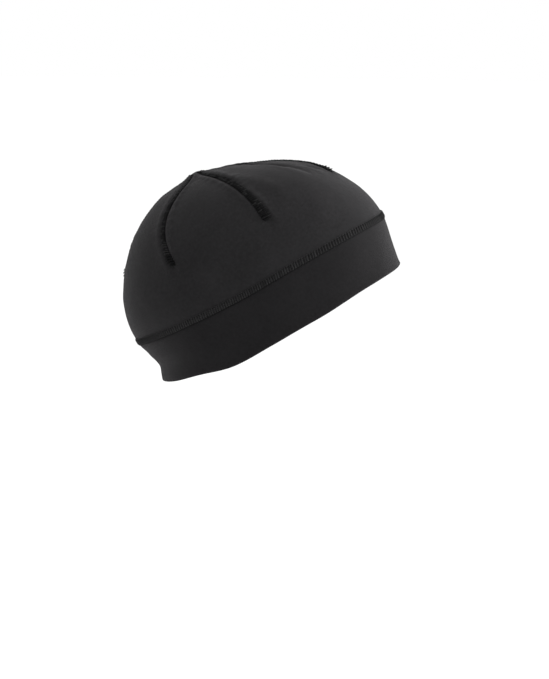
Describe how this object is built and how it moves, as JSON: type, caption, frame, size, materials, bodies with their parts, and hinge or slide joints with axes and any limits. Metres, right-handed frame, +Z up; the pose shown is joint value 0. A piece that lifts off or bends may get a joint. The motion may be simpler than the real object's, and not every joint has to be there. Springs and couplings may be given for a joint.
{
  "type": "beanie",
  "caption": "Close-fitting skull cap of stretch jersey, with a darted crown over a plain folded band, kept in the shape it has when worn",
  "frame": {"origin": "the inside of the crown where it sits on the top of the head, in the cap's middle plane", "axes": "+X towards the front of the cap, +Y towards the wearer's left, +Z up. The cap is tipped as it is worn, so that the plane of the joint between crown and band rises 27.8 degrees towards the front"},
  "size_m": [0.1989, 0.1581, 0.1618],
  "materials": {
    "crown_jersey": "fine matte knit, very dark neutral grey",
    "band_jersey": "fine matte knit, doubled, very dark neutral grey",
    "seam_thread": "matte black textured thread"
  },
  "bodies": {
    "root": {"crown": "crown_jersey", "band": "band_jersey", "band_seam": "seam_thread", "dart_seam_front": "seam_thread", "dart_seam_left_front": "seam_thread", "dart_seam_left_rear": "seam_thread", "dart_seam_rear": "seam_thread", "dart_seam_right_rear": "seam_thread", "dart_seam_right_front": "seam_thread"}
  },
  "joints": []
}
